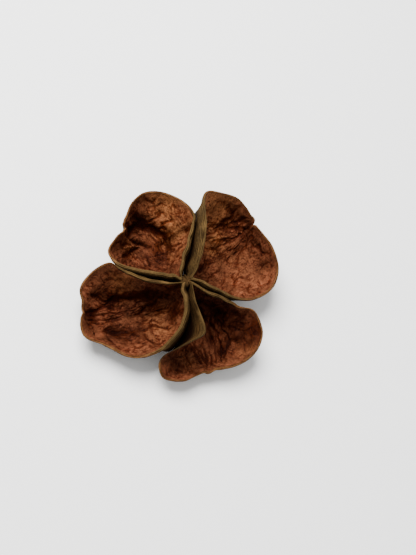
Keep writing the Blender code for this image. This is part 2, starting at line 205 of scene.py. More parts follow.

# Each shell: its lowest place, then its edge in two runs, both from the knot out along the
# suture and round the outer rim to the notch in the tip. X, Y and Z in mm. The swell is how
# far the wall below a suture stands out past its edge, the narrowing is how much the lip thins
# toward the suture's outer end, as a share, and the pocket shade is how much painted shade the
# wall below it gets, for the shade in the pocket between shells. A fold is a line, its half width
# and how far it stands up into the shell, or sinks where that is negative. A crease is a line, its
# half width and its depth. Skin is lighter and more orange round the warm places, partly its own
# tone and partly painted light, and darker round the deep ones, painted shade with some real
# stain, each with its half width and its strength.
SHELLS = {
    "upper_left": {
        "belly": (-10.0, 24.0),
        "folds": [
            ([(-19, 30.5), (-9, 33), (-3.5, 29), (-1, 22.5), (-1.5, 16)], 1.9, -1.5),
            ([(-21, 35), (-13.5, 34)], 1.9, -0.9),
            ([(-17.5, 39.5), (-10, 38), (-3.5, 34)], 2.3, 0.9),
            ([(-23.5, 15), (-17, 22)], 1.7, -0.9),
            ([(-14, 29.5), (-7.5, 27.5), (-4.5, 21.5)], 1.7, 0.9),
            ([(-11.5, 18.5), (-9, 21.5)], 2.2, 0.8),
        ],
        "creases": [
            ([(-20, 28.5), (-15, 34.5), (-10.5, 34), (-7, 32.5), (-3.5, 30.5), (-1.5, 29.5)], 0.8, 0.7),
            ([(-22, 31), (-18, 33), (-13.5, 35)], 0.6, 0.4),
            ([(-17.5, 37), (-14, 36), (-10, 35), (-6, 32.5)], 0.9, 0.6),
            ([(-9, 36), (-5.5, 37)], 0.45, 0.4),
            ([(-4.5, 32.5), (-4.5, 34), (-2, 34)], 0.5, 0.5),
            ([(-7, 32), (-4.5, 29), (-3, 26), (-2, 23)], 0.45, 0.45),
            ([(-3, 30), (-1.5, 27.5), (-0.5, 24.5), (-1, 21.5)], 0.45, 0.4),
            ([(-8, 31), (-6, 28), (-4.5, 25), (-5.5, 21.5)], 0.45, 0.4),
            ([(0, 29), (0, 27), (1, 24.5), (3.5, 25)], 0.45, 0.5),
            ([(-21.5, 27.5), (-17, 28), (-12, 27), (-9.5, 25.5), (-8, 25.5)], 0.6, 0.6),
            ([(-26.5, 23), (-22.5, 24), (-18, 25)], 0.5, 0.4),
            ([(-21.5, 18.5), (-18, 22.5), (-13.5, 25.5)], 0.6, 0.7),
            ([(-22.5, 20.5), (-19, 24), (-14, 26.5), (-11, 25.5)], 0.6, -0.6),
            ([(-10.5, 25), (-9.5, 20.5), (-9, 16)], 0.6, 0.5),
            ([(-7, 21), (-4, 22), (-1, 23)], 0.4, 0.35),
            ([(-14, 43.5), (-10.5, 42.5), (-8.5, 43.5)], 0.5, 0.3),
            ([(-11.5, 40), (-9, 40.5), (-6, 41)], 0.5, 0.3),
        ],
        "warm": [((-0.5, 31), 7, 1), ((-11, 42.5), 5, 0.4), ((-19.5, 23.5), 3, 0.6),
                 ((3, 20.5), 4, 0.5), ((-4.5, 40.5), 7, 0.9)],
        "deep": [((-6, 25.5), 5, 1), ((-5, 18.5), 4.5, 0.9), ((-10, 21.5), 3, 0.8),
                 ((-15, 39), 4, 0.5), ((-21, 17), 3, 0.7), ((-17, 33), 5, 0.5),
                 ((-5, 14.5), 6, 0.7), ((-3.5, 19.5), 5, 1)],
        "first": {
            "swell": 2,
            "narrowing": 0.95,
            "pocket_shade": 1,
            "suture": [(-1.5, 4.5, 26), (-2, 8, 27), (0, 13, 28), (2.8, 20, 28), (4.6, 27, 27.5),
                       (5.6, 32, 26)],
            "rim": [(4, 37, 23.5), (-0.7, 41.3, 21.5), (-7.5, 44.3, 19.5), (-14.2, 43.9, 18),
                    (-19.3, 39.4, 17), (-21.5, 34.2, 16.5), (-22.8, 30.7, 15.8),
                    (-20.6, 28.5, 14.5)],
        },
        "second": {
            "swell": 0.1,
            "narrowing": 0.5,
            "pocket_shade": 0.6,
            "suture": [(-1.5, 4.5, 26), (-7.5, 5, 26), (-14, 6.5, 24.5), (-20.5, 8, 23), (-26, 10, 21)],
            "rim": [(-28.8, 14, 18.5), (-29.2, 18.5, 16.5), (-25.9, 24.1, 16), (-23.4, 26.8, 15.5),
                    (-20.6, 28.5, 14.5)],
        },
    },
    "lower_left": {
        "belly": (-19.0, -7.5),
        "folds": [
            ([(-31.5, 0), (-14.5, 0), (-4, 0)], 2.0, -1.2),
            ([(-37, -5), (-24.5, -5), (-15.5, -5.5)], 1.5, 0.6),
            ([(-32.5, -15.5), (-25.5, -14), (-19, -12.5)], 2.3, -1.5),
            ([(-15.5, -6.5), (-10, -2.5), (-5, 0)], 1.5, -0.8),
            ([(-10, -12.5), (-7, -14.5)], 4.5, 1.2),
            ([(-37, -9.5), (-31, -9.5)], 1.5, -0.6),
        ],
        "creases": [
            ([(-38.5, -7), (-33, -4.5), (-27.5, -1), (-23, 1), (-19, 1.5), (-13.5, 1.5),
              (-8.5, 1)], 0.9, 0.9),
            ([(-35.5, 1), (-31.5, 0.5), (-27, 0.5), (-24, 2), (-21, 2.5)], 0.6, 0.6),
            ([(-33, -4), (-29, -2), (-24.5, -1)], 0.5, -0.4),
            ([(-15.5, -5.5), (-12, -3), (-10.5, -1.5), (-7.5, -1), (-6, 0.5)], 0.6, 0.6),
            ([(-36.5, -7.5), (-30.5, -6.5), (-25.5, -5), (-19.5, -4)], 0.4, 0.4),
            ([(-37, -9.5), (-31, -8.5), (-25.5, -7.5), (-21, -6)], 0.4, 0.4),
            ([(-36.5, -11), (-31, -10.5), (-26.5, -8.5), (-21.5, -7.5)], 0.4, 0.4),
            ([(-27.5, -13.5), (-23.5, -14), (-19.5, -13)], 1.3, 0.6),
            ([(-28, -12), (-25.5, -10.5), (-22.5, -12), (-19.5, -10)], 0.5, -0.5),
            ([(-19.5, -7.5), (-18, -11.5), (-18, -15.5)], 0.5, -0.5),
            ([(-12.5, -14.5), (-10.5, -18), (-7.5, -19.5), (-4.5, -18.5)], 0.5, 0.5),
            ([(-12, -13), (-10.5, -11.5), (-7, -10.5), (-3, -12.5)], 0.45, 0.45),
            ([(-6, -3.5), (-3, -3.5), (-2, -2)], 0.4, 0.4),
            ([(-6.5, -5.5), (-3, -5), (-1, -4)], 0.4, 0.4),
            ([(-1.5, -8.5), (0, -7), (0, -4.5)], 0.4, 0.35),
            ([(-15, -8), (-11.5, -9), (-8, -8), (-5.5, -9)], 0.4, 0.35),
            ([(-28.5, -17.5), (-25.5, -20.5), (-24.5, -23)], 0.5, 0.4),
        ],
        "warm": [((-24.5, 5.5), 5, 0.7), ((-5.5, -4), 4.5, 0.5), ((-6, -12), 7, 0.45),
                 ((-13.5, -20.5), 4, 0.1)],
        "deep": [((-24.5, -16), 6.5, 1), ((-28, 0.5), 6, 1), ((-11, 1), 6, 0.5),
                 ((-36, -8.5), 4.5, 0.8), ((-33.5, -1), 4, 0.5), ((-4, 0.5), 5, 0.6),
                 ((-18, -1.5), 6, 0.4), ((-17, -14), 6, 0.9)],
        "first": {
            "swell": 0.1,
            "narrowing": 0.6,
            "pocket_shade": 0.6,
            "suture": [(-1, 1.5, 26), (-7.5, 1.5, 26), (-14, 2.5, 24.5), (-20.5, 5.5, 22.5),
                       (-26, 9, 20.5)],
            "rim": [(-30, 11.5, 19), (-36.3, 8.5, 15), (-40.6, 2.3, 12), (-38.4, -5.5, 10)],
        },
        "second": {
            "swell": 3,
            "narrowing": 0.5,
            "pocket_shade": 0.9,
            "suture": [(-1, 1.5, 26), (0, -2.5, 26), (1, -7, 26), (0.5, -12, 25), (-1.5, -17.5, 23),
                       (-4.5, -21, 20), (-8, -24, 17)],
            "rim": [(-14.5, -26.5, 14), (-21.2, -26.2, 12), (-30.7, -21.2, 11), (-38, -18.6, 11),
                    (-40.1, -14.2, 11), (-39.8, -10, 11), (-38.4, -5.5, 10)],
        },
    },
    "lower_right": {
        "belly": (16.0, -18.5),
        "folds": [
            ([(9, -5), (11, -15), (12.5, -26)], 1.4, -0.9),
            ([(12, -3.5), (14, -13), (15.5, -27)], 1.4, -0.9),
            ([(15, -3.5), (17.5, -12), (18, -27)], 1.4, -0.9),
            ([(18.5, -4.5), (21.5, -12), (21.5, -26)], 1.4, -0.9),
            ([(23.5, -10.5), (28.5, -15.5)], 1.5, 0.8),
            ([(30, -21.5), (28, -23.5)], 3.5, 0.8),
            ([(7.5, -21.5), (5, -31)], 1.3, -0.6),
            ([(1, -25), (0.5, -32)], 1.3, -0.5),
        ],
        "creases": [
            ([(20, -7), (21.5, -10), (24.5, -13), (25.5, -15.5), (24.5, -18.5), (23, -24)], 0.4, 0.45),
            ([(17, -5.5), (18, -8.5), (20.5, -12.5), (22.5, -15.5), (22.5, -20), (21, -26)], 0.4, 0.6),
            ([(17, -11), (18.5, -14.5), (19.5, -20), (18.5, -26)], 0.35, 0.4),
            ([(15.5, -12.5), (16.5, -17), (17, -21), (17, -26)], 0.35, 0.4),
            ([(14, -15.5), (14, -19), (15.5, -23.5), (15, -26.5)], 0.4, 0.6),
            ([(10.5, -17.5), (12, -20), (14, -24.5), (14.5, -27)], 0.4, 0.6),
            ([(9.5, -19.5), (11, -23), (12.5, -26.5)], 0.4, 0.6),
            ([(6.5, -19.5), (6, -23), (7.5, -27)], 0.4, 0.5),
            ([(21, -8), (24.5, -12.5), (26, -14.5)], 0.4, -0.4),
            ([(24.5, -9.5), (28, -9.5), (31.5, -10.5)], 0.35, 0.25),
            ([(25, -10.5), (29, -12.5), (33, -13)], 0.35, 0.25),
            ([(10, -2), (12, -4), (15.5, -7)], 0.6, 0.4),
            ([(21, -6), (23.5, -7), (29.5, -7.5)], 0.4, 0.3),
        ],
        "warm": [((31.5, -22), 4, 0.3), ((6, -25), 4, 0.3)],
        "deep": [((33, -14), 9, 1), ((23.5, -20), 5, 1), ((12.5, -2.5), 8, 1),
                 ((21, -6), 7, 1), ((17.5, -14.5), 6, 0.8), ((-1.5, -31), 5, 0.7),
                 ((26.5, -12.5), 6, 0.8)],
        "first": {
            "swell": 0.8,
            "narrowing": 0.5,
            "pocket_shade": 0.7,
            "suture": [(3.5, 1, 26), (8.5, -0.5, 25), (14.5, -2.5, 24), (21, -4.5, 22)],
            "rim": [(25, -6, 20), (32.3, -7, 18), (36.3, -14.9, 16), (34.3, -22.2, 14), (29, -27, 12),
                    (22.4, -29.7, 11), (14.3, -30.8, 9)],
        },
        "second": {
            "swell": 3.2,
            "narrowing": 0.4,
            "pocket_shade": 0.6,
            "suture": [(3.5, 1, 26), (4.5, -4.5, 25), (6.5, -10.5, 25), (8, -16, 25), (7.5, -19.5, 24),
                       (3, -22, 22), (-1.5, -24, 18), (-6, -26, 15)],
            "rim": [(-7.7, -29, 11), (-6, -33.8, 9), (-1.8, -35.3, 9), (3.7, -35.3, 9), (9.7, -32.4, 9),
                    (14.3, -30.8, 9)],
        },
    },
    "upper_right": {
        "belly": (27.0, 18.5),
        "folds": [
            ([(33, 32), (24, 33.5), (13, 30)], 1.6, -1.2),
            ([(32, 35), (25, 36), (18, 33.5)], 1.5, -0.8),
            ([(33, 31), (23.5, 28), (17, 21.5)], 1.6, -0.9),
            ([(29.5, 40), (27, 36.5)], 3.0, -1.0),
            ([(38.5, 26.5), (40.5, 21.5)], 2.5, -0.7),
            ([(33.5, 16), (35.5, 13.5)], 5.0, 0.8),
        ],
        "creases": [
            ([(34, 33.5), (29, 35), (24, 34.5), (17.5, 32), (12, 30)], 0.5, 0.4),
            ([(33.5, 32), (29, 33.5), (24, 33), (17.5, 30.5), (12, 28.5)], 0.4, -0.35),
            ([(33, 32.5), (29.5, 31.5), (26.5, 29), (22, 27), (17, 26)], 0.4, 0.3),
            ([(32, 33), (28, 31), (24, 30), (18.5, 28)], 0.35, 0.25),
            ([(34, 31.5), (34, 28), (32.5, 26), (30, 24.5)], 0.4, 0.3),
            ([(33.5, 32.5), (32, 29), (29.5, 27), (27, 25.5)], 0.35, 0.25),
            ([(35, 30), (36.5, 26.5), (36.5, 23.5)], 0.4, 0.3),
            ([(28, 23), (26, 19.5), (23, 16.5), (19, 14)], 0.45, 0.5),
            ([(26, 16.5), (25, 13), (23, 9)], 0.45, 0.45),
            ([(29, 14.5), (27.5, 7.5)], 0.45, 0.35),
            ([(34.5, 8.5), (32, 2)], 0.45, 0.4),
            ([(24, 41.5), (27, 39.5), (25, 38), (21.5, 36)], 0.6, 0.3),
            ([(31.5, 37), (29.5, 37), (25.5, 36), (20, 34.5)], 0.5, 0.4),
            ([(17, 22.5), (15, 18), (12, 13.5)], 0.6, 0.45),
            ([(37.5, 26.5), (40.5, 22.5), (42.5, 20.5)], 0.5, 0.3),
        ],
        "warm": [((17.5, 40), 9, 1), ((19, 28), 5, 1), ((33, 16), 9, 0.15), ((26, 25), 6, 0.25),
                 ((29, 21), 6, 0.2)],
        "deep": [((29.5, 37), 4, 0.6), ((24.5, 33), 3, 0.5), ((34.5, 29), 4, 0.6),
                 ((42, 18), 7, 0.5), ((14.5, 16), 3, 0.4)],
        "first": {
            "swell": 2.6,
            "narrowing": 0.1,
            "pocket_shade": 0.15,
            "suture": [(4, 4.5, 26), (5.5, 8.5, 27), (7, 14.5, 30), (8, 20.5, 31), (8.9, 28.5, 31),
                       (9.2, 37.5, 29)],
            "rim": [(12.0, 42.9, 27), (19.8, 43.6, 24), (27, 43, 21), (31.3, 39.1, 19.5),
                    (33.2, 36.5, 18.6), (34.8, 33.5, 18), (34, 31.7, 17)],
        },
        "second": {
            "swell": 0.8,
            "narrowing": 0.7,
            "pocket_shade": 0.6,
            "suture": [(4, 4.5, 26), (10.5, 1.5, 25), (17.5, -0.5, 22.5), (23.5, -1.5, 20)],
            "rim": [(30.8, -1.4, 18.5), (38.4, 2, 17), (43.1, 6.7, 16.5), (45.1, 14.4, 16.5),
                    (42.8, 23.2, 17), (38.2, 29, 17.6), (35.9, 31.8, 17.3), (34, 31.7, 17)],
        },
    },
}


def linear(hex_colour):
    """Linear red, green, blue and alpha of an sRGB hex colour."""
    parts = [int(hex_colour[start:start + 2], 16) / 255 for start in (1, 3, 5)]
    return tuple(part / 12.92 if part <= 0.04045 else ((part + 0.055) / 1.055) ** 2.4
                 for part in parts) + (1.0,)


def smooth_step(value):
    """Rise smoothly from 0 to 1 while the value does."""
    value = np.clip(value, 0.0, 1.0)
    return value * value * (3 - 2 * value)


CHANCE = np.random.default_rng(7)
SHUFFLE = CHANCE.permutation(256)
SLOPES = CHANCE.normal(size=(256, 3))


def lumps_at(places):
    """The part's own lumps at an array of places."""
    values = [noise.noise(Vector(place)) for place in places.reshape(-1, 3) / LUMP_SIZE]
    return LUMP_HEIGHT * np.array(values).reshape(places.shape[:-1])


def bumps_at(places, size, kind=0):
    """Smooth noise between about -1 and 1 at an array of places. Each kind is another pattern."""
    places = places / size
    cell = np.floor(places).astype(int)
    part = places - cell
    ease = part ** 3 * (part * (part * 6 - 15) + 10)
    total = np.zeros(places.shape[:-1])
    for corner in itertools.product((0, 1), repeat=3):
        x, y, z = np.moveaxis((cell + corner) & 255, -1, 0)
        slope = SLOPES[(SHUFFLE[(SHUFFLE[(SHUFFLE[x] + y) & 255] + z) & 255] + kind) & 255]
        weight = np.prod(np.where(np.array(corner) == 1, ease, 1 - ease), axis=-1)
        total += weight * np.sum(slope * (part - corner), axis=-1)
    return total


def flat_bumps(along, across, kind):
    """Smooth noise in a flat pattern, with bumps 1 long and 1 wide."""
    return bumps_at(np.stack((along, across, across * 0), axis=-1), 1.0, kind)


def furrows(values, width):
    """Narrow furrows where a smooth noise crosses zero, from 0 on the flat to 1 at the bottom."""
    return np.clip(1 - np.abs(values) / width, 0, 1) ** 1.5


def spline_point(points, place):
    """Point on the smooth curve through the points, with place counted in points."""
    last = len(points) - 1
    step = min(int(place), last - 1)
    share = place - step
    before = points[max(step - 1, 0)]
    start = points[step]
    end = points[step + 1]
    after = points[min(step + 2, last)]
    pull_out = (end - before) / 2
    pull_in = (after - start) / 2
    squared = share * share
    cubed = squared * share
    return (start * (2 * cubed - 3 * squared + 1) + pull_out * (cubed - 2 * squared + share)
            + end * (3 * squared - 2 * cubed) + pull_in * (cubed - squared))


def gap_to_line(places, line):
    """Distance from flat places to a line of points."""
    gaps = []
    for start, end in zip(line, line[1:]):
        first = np.array(start, dtype=float)
        span = np.array(end, dtype=float) - first
        share = np.clip((places - first) @ span / (span @ span), 0, 1)
        gaps.append(np.linalg.norm(places - first - share[..., None] * span, axis=-1))
    return np.minimum.reduce(gaps)


def even_run(run, belly, count):
    """Rows of X, Y, Z, suture, curl, lip and painted pocket shade at even steps along one run of an edge."""
    corners = [np.array((*corner, 1.0)) for corner in run["suture"]]
    corners += [np.array((*corner, 0.0)) for corner in run["rim"]]
    fine = np.array([spline_point(corners, (len(corners) - 1) * step / FINE_STEPS)
                     for step in range(FINE_STEPS + 1)])
    steps = np.linalg.norm(np.diff(fine[:, :3], axis=0), axis=1)
    lengths = np.concatenate(([0.0], np.cumsum(steps)))
    wanted = np.linspace(0, lengths[-1], count + 1)
    rows = np.array([np.interp(wanted, lengths, fine[:, column]) for column in range(4)]).T
    suture = np.clip(rows[:, 3], 0, 1)
    span = np.linalg.norm(rows[:, :2] - np.array(belly), axis=1)
    share = wanted / lengths[round(FINE_STEPS * (len(run["suture"]) - 1) / (len(corners) - 1))]
    swell = run["swell"] * (1 - smooth_step((share - SWELL_END) / (1 - SWELL_END)))
    curl = math.pi - np.arcsin(span / (span + swell))
    curl = RIM_CURL + (curl - RIM_CURL) * suture
    lip = suture * (1 - run["narrowing"] * np.minimum(1, share))
    return np.column_stack((rows[:, :3], suture, curl, lip, suture * run["pocket_shade"]))


def softened(loop):
    """The closed loop of places with its corners and its notch rounded away."""
    count = len(loop)
    reach = int(3 * SOFTENING * count)
    steps = np.arange(-reach, reach + 1)
    shares = np.exp(-0.5 * (steps / (SOFTENING * count)) ** 2)
    shares /= shares.sum()
    soft = np.zeros_like(loop)
    for step, share in zip(steps, shares):
        soft += np.roll(loop, -step, axis=0) * share
    return soft


class Shell:
    """One open shell, given by its edge, its lowest place and its folds."""

    def __init__(self, facts, rays):
        half = rays // 2
        first = even_run(facts["first"], facts["belly"], half)
        second = even_run(facts["second"], facts["belly"], half)
        whole = np.concatenate((first[:-1], second[:0:-1]))
        self.belly = np.array((*facts["belly"], WALL / 2 - BELLY_SINK))
        self.edge = whole[:, :3]
        self.suture = whole[:, 3]
        self.curl = whole[:, 4]
        self.lip = whole[:, 5]
        self.pocket_shade = whole[:, 6]
        self.soft = softened(self.edge)
        self.folds = facts["folds"]
        self.creases = facts["creases"]
        self.warm = facts["warm"]
        self.deep = facts["deep"]
        self.knot = self.edge[0]
        self.notch = self.edge[half]
        along = (self.notch - self.knot)[:2]
        self.length = np.linalg.norm(along)
        self.along = along / self.length
        down, across = self.beside_middle(self.belly)
        self.bend = across / (4 * down * (1 - down))
        away = self.soft - self.belly
        away[:, 2] = 0
        self.away = away / np.linalg.norm(away, axis=1)[:, None]
        steps = np.linalg.norm(self.edge - np.roll(self.edge, 1, axis=0), axis=1)
        self.round = np.cumsum(steps)

    def beside_middle(self, places):
        """How far places are down the line from knot to notch, as a share, and how far beside it."""
        offset = places[..., :2] - self.knot[:2]
        down = offset @ self.along / self.length
        return down, offset[..., 1] * self.along[0] - offset[..., 0] * self.along[1]

    def big_folds(self, places, reach):
        """Height of the middle crease, the pleats, the lumps and the listed folds."""
        down, across = self.beside_middle(places)
        across = across - self.bend * 4 * down * (1 - down)
        crease = -CREASE_DEPTH * np.exp(-(across / CREASE_WIDTH) ** 2)
        spread = PLEAT_SPREAD * (1 - PLEAT_NARROWING * down)
        wave = np.cos(2 * math.pi * across / PLEAT_SPACING) * np.exp(-(across / spread) ** 2)
        middle = smooth_step(reach / FOLD_START) * (crease - PLEAT_HEIGHT * wave)
        edge = smooth_step((reach - EDGE_CALM_START) / (1 - EDGE_CALM_START))
        folds = sum(height * np.exp(-(gap_to_line(places[..., :2], line) / width) ** 2)
                    for line, width, height in self.folds)
        return middle + lumps_at(places) * (1 + (LUMPS_AT_EDGE - 1) * edge) + folds * (1 - edge)

    def crease_depth(self, swayed):
        """How deep the listed creases are at flat places."""
        total = np.zeros(swayed.shape[:-1])
        for line, width, depth in self.creases:
            corners = np.array(line)
            steps = np.linspace(0, len(line) - 1, CREASE_STEPS * (len(line) - 1) + 1)
            gap = gap_to_line(swayed, np.array([spline_point(corners, step) for step in steps]))
            total += depth * np.exp(-(gap / width) ** 2)
        return total

    def beside_folds(self, swayed, sway):
        """How strongly long wrinkles show beside the folds that sink, from 0 to 1."""
        total = np.zeros(swayed.shape[:-1])
        for line, _, height in self.folds:
            if height < 0:
                gap = gap_to_line(swayed, line)
                wave = 0.5 + 0.5 * np.cos(2 * math.pi * (gap + sway) / WRINKLE_SPACING)
                total = np.maximum(total, wave ** 4 * np.exp(-(gap / WRINKLE_SPREAD) ** 2))
        return total

    def fan(self, places, sway):
        """How strongly the fan of wrinkles out of the notch shows, from 0 to 1."""
        offset = places[..., :2] - self.notch[:2]
        far = np.linalg.norm(offset, axis=-1)
        toward = math.atan2(-self.along[1], -self.along[0])
        turn = np.arctan2(offset[..., 1], offset[..., 0]) - toward
        turn = np.arctan2(np.sin(turn), np.cos(turn))
        round_notch = turn * FAN_RADIUS / FAN_SPACING + FAN_SWAY * sway
        lines = furrows(flat_bumps(far / FAN_LENGTH, round_notch, 5), WIDE_FURROW)
        return lines * (0.15 + 0.85 * np.exp(-(turn / FAN_HALF_ANGLE) ** 2))

    def crinkle(self, places):
        """How strongly the crinkle and its fine lines show, from 0 to 1."""
        pull = np.stack([bumps_at(places, SWAY_SIZE, kind) for kind in (6, 7, 8)], axis=-1)
        warped = places + CRINKLE_SWAY * pull
        down, across = self.beside_middle(warped)
        lines = flat_bumps(down * self.length / LINE_LENGTH, across / LINE_SPACING, 10)
        strength = np.maximum(furrows(bumps_at(warped, CRINKLE_SIZE, 9), NARROW_FURROW),
                              furrows(lines, WIDE_FURROW))
        return strength * np.clip(0.6 + 1.8 * bumps_at(places, CRINKLE_BREAK_SIZE, 16), 0.1, 1)

    def wrinkles(self, places):
        """Height of the dents and creases, and how deep each kind of wrinkle is, from 0 to 1."""
        dents = DENT_HEIGHT * bumps_at(places, DENT_SIZE)
        dents += SMALL_DENT_HEIGHT * bumps_at(places, SMALL_DENT_SIZE, 1)
        sway = np.stack([bumps_at(places, SWAY_SIZE, kind) for kind in (2, 3)], axis=-1)
        swayed = places[..., :2] + CREASE_SWAY * sway
        creases = self.crease_depth(swayed)
        broken = np.clip(0.6 + 1.2 * bumps_at(places, WRINKLE_BREAK_SIZE, 4), 0, 1)
        beside = self.beside_folds(swayed, sway[..., 0]) * broken
        fan = self.fan(places, sway[..., 0])
        return dents - creases, np.clip(creases, 0, 1), beside, fan, self.crinkle(places)

    def bowl(self, reach):
        """Places on the smooth bowl for a column of reaches, before its folds."""
        reach = reach[:, None]
        form = smooth_step((reach - EDGE_SHAPE_START) / (1 - EDGE_SHAPE_START))[..., None]
        span = self.soft + (self.edge - self.soft) * form - self.belly
        widen = np.sin(self.curl * reach) / np.sin(self.curl)
        rise = (1 - np.cos(self.curl * reach)) / (1 - np.cos(self.curl))
        return self.belly + span * np.stack((widen, widen, rise), axis=-1)

    def sheet(self, reach):
        """Middle of the wall, the ways on toward the edge and out through the wall, and how thick
        the wall is."""
        places = self.bowl(reach)
        beyond = self.bowl(np.minimum(1, reach + SLOPE_STEP))
        change = beyond - self.bowl(np.maximum(0, reach - SLOPE_STEP))
        outward = np.sum(change * self.away, axis=-1)
        upward = change[..., 2]
        size = np.sqrt(outward ** 2 + upward ** 2)
        outward = (outward / size)[..., None]
        upward = (upward / size)[..., None]
        above = np.array((0.0, 0.0, 1.0))
        forward = self.away * outward + above * upward
        behind = self.away * upward - above * outward
        column = reach[:, None]
        places = places - behind * self.big_folds(places, column)[..., None]
        places[..., 2] = np.maximum(places[..., 2], self.belly[2])
        margin = OUTER_MARGIN + (SUTURE_MARGIN - OUTER_MARGIN) * self.lip
        thick = WALL + (margin - WALL) * smooth_step((column - MARGIN_START) / (1 - MARGIN_START))
        return places, forward, behind, thick

    def fibres(self, across):
        """Height of the fibres along the edge, where across is the distance over the lip."""
        run = np.broadcast_to(self.round / FIBRE_LENGTH, across.shape)
        sway = FIBRE_SWAY * flat_bumps(run, across / SWAY_SIZE, 11)
        even = np.cos(2 * math.pi * (across + sway) / FIBRE_SPACING)
        uneven = flat_bumps(run * FIBRE_BREAKS, across / UNEVEN_SPACING, 12)
        coarse = flat_bumps(run * FIBRE_BREAKS, across / COARSE_SPACING, 17)
        far = smooth_step((across - MARGIN_HEIGHT) / (2 * MARGIN_HEIGHT))
        return (0.7 * even + 0.9 * uneven) * (1 - 0.8 * far) + 0.7 * coarse * far

    def patches(self, places, spots, kind):
        """How strongly patches round the given spots show, from 0 to 1."""
        total = np.zeros(places.shape[:-1])
        for middle, size, strength in spots:
            gap = np.linalg.norm(places[..., :2] - np.array(middle), axis=-1)
            total = np.maximum(total, strength * np.exp(-(gap / size) ** 2))
        return np.clip(total * (1 + PATCH_GRAIN * bumps_at(places, PATCH_GRAIN_SIZE, kind)), 0, 1)

    def shade_below(self, across):
        """How much painted shade lies below the lip of a suture, from 0 to 1."""
        return self.pocket_shade * smooth_step((across - POCKET_SHADE_START) / POCKET_SHADE_RISE)

    def inner_wall(self):
        """Rings up the inside, with their notes."""
        up = np.linspace(0, 1, INNER_RINGS + 1)
        column = up[:, None]
        places, _, behind, thick = self.sheet(up)
        dents, creases, beside, fan, crinkle = self.wrinkles(places)
        band_start = 1 - BAND_WIDTH * self.lip
        band = smooth_step((column - band_start) / BAND_FADE) * self.suture
        groove = np.exp(-((column - band_start) / GROOVE_WIDTH) ** 2) * self.suture
        calm = smooth_step((column - CALM_EDGE) / (1 - CALM_EDGE))
        lively = smooth_step(column / CALM_MIDDLE) * (1 - calm)

        depth = WRINKLE_DEPTH * beside + FAN_DEPTH * fan + CRINKLE_DEPTH * crinkle
        touching = self.suture * smooth_step((column - TOUCH_START) / TOUCH_RISE)
        deepest = THINNEST - thick + (thick - THINNEST - WALL_DENT) * touching
        height = np.maximum((dents - depth) * lively - GROOVE_DEPTH * groove, deepest)
        # Furrows and the groove are painted darker, as painted shade.
        shade = CREASE_SHADE * creases + WRINKLE_SHADE * (beside + fan) + CRINKLE_SHADE * crinkle
        furrow = np.clip(shade, 0, 1) * (0.35 + 0.65 * lively) * (1 - band)
        rim = smooth_step((column - RIM_START) / (1 - RIM_START))
        # The warm patches are partly the skin's own tone and partly painted light; the dark patches are
        # painted shade with some real stain.
        notes = (np.maximum(band, rim * RIM_WOOD), np.maximum(furrow, groove),
                 self.patches(places, self.warm, 13), self.patches(places, self.deep, 15) * (1 - band))
        return places - behind * (thick / 2 + height)[..., None], notes

    def lip_rings(self):
        """Rings over the lip, with their notes."""
        places, forward, behind, thick = self.sheet(np.ones(1))
        turn = np.pi * np.arange(1, LIP_RINGS)[:, None] / LIP_RINGS
        across = (turn - np.pi) * thick / 2
        fibres = self.fibres(across)
        outward = forward * np.sin(turn)[..., None] - behind * np.cos(turn)[..., None]
        notes = (RIM_WOOD + (1 - RIM_WOOD) * np.broadcast_to(self.suture, across.shape),
                 # Painted shade between the fibres, and darker toward both sides of the lip than on its
                 # crest.
                 np.clip(0.8 - 0.6 * np.sin(turn) - 0.6 * fibres, 0, 1), np.ones(across.shape),
                 self.shade_below(across))
        return places + outward * (thick / 2 + FIBRE_HEIGHT * fibres * self.suture)[..., None], notes

    def outer_wall(self):
        """Rings down the outside, with their notes."""
        down = 1 - np.linspace(0, 1, OUTER_RINGS + 1) ** OUTER_CROWDING
        places, _, behind, thick = self.sheet(down)
        steps = np.linalg.norm(np.diff(places, axis=0), axis=-1)
        across = np.concatenate((np.zeros((1, len(self.round))), np.cumsum(steps, axis=0)))
        fibres = self.fibres(across) * smooth_step(down[:, None] / FIBRE_FADE)
        from_knot = np.linalg.norm(self.edge[:, :2] - self.knot[:2], axis=1)
        pared = WALL_PARING * self.suture * smooth_step((from_knot - PARING_START) / PARING_RISE)
        pared = pared * smooth_step((1 - down[:, None]) / PARING_FADE)
        # Painted shade further down the outside beside a suture.
        dark = self.suture * smooth_step((across - SHADE_START) / SHADE_RISE)
        # Painted shade between the fibres.
        notes = (np.ones(across.shape), np.clip(0.45 - 0.6 * fibres, 0, 1),
                 1 - smooth_step((across - MARGIN_HEIGHT) / MARGIN_HEIGHT),
                 np.maximum(self.shade_below(across), dark))
        return places + behind * (thick / 2 + FIBRE_HEIGHT * fibres - pared)[..., None], notes

    def grid(self):
        """Rings of the closed wall, up the inside, over the lip and down the outside, and for
        each point how woody it is, how deep in a furrow, which is painted with shade, how warm, which
        is partly painted light, and how dark, which is painted shade with some real stain."""
        walls, notes = zip(self.inner_wall(), self.lip_rings(), self.outer_wall())
        return np.concatenate(walls), [np.concatenate(rows) for rows in zip(*notes)]


def new_piece(work, name):
    """Turn a filled bmesh into a shown object at the origin."""
    mesh = bpy.data.meshes.new(name)
    work.to_mesh(mesh)
    work.free()
    mesh.shade_smooth()
    piece = bpy.data.objects.new(name, mesh)
    bpy.context.scene.collection.objects.link(piece)
    return piece


